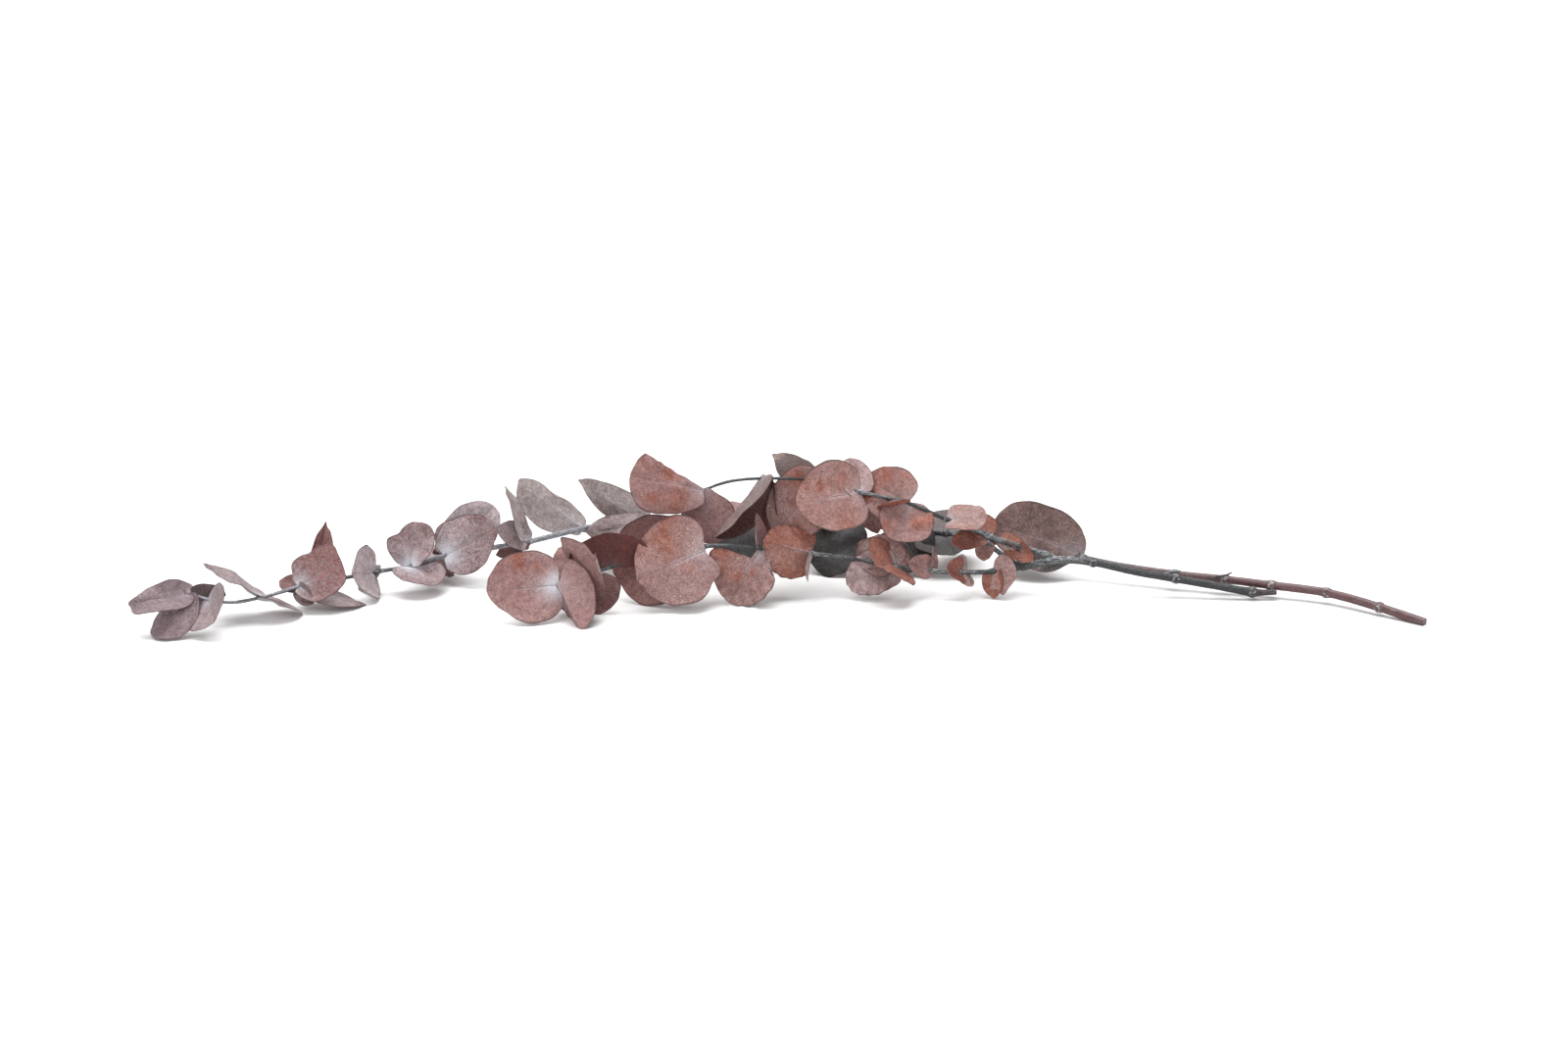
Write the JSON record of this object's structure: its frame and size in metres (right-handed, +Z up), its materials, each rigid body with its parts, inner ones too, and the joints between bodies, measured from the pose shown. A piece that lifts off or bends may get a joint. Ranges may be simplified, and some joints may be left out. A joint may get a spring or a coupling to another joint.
{
  "type": "preserved eucalyptus branch",
  "caption": "Long dried eucalyptus branch with round mauve-brown leaves in pairs and a forked side branch, lying flat.",
  "frame": {"origin": "centre of the box round the branch, at the height of the surface that it lies on", "axes": "+X along the branch from the leafy tip towards the cut end, +Y away from the side that the cut end points to, +Z up"},
  "size_m": [0.6377, 0.1641, 0.073],
  "materials": {
    "leaf_blade": "dyed and dried leaf, satin, with fine pale speckle, thin veins and a dark rim",
    "slate_bark": "dark grey-green twig bark with a white waxy bloom",
    "brown_bark": "smooth reddish-brown stem bark with a lilac-grey sheen"
  },
  "bodies": {
    "root": {"main_leafy_stem": "leaf_blade", "side_branch": "slate_bark", "upper_leafy_twig": "leaf_blade", "lower_leafy_twig": "leaf_blade"}
  },
  "joints": []
}
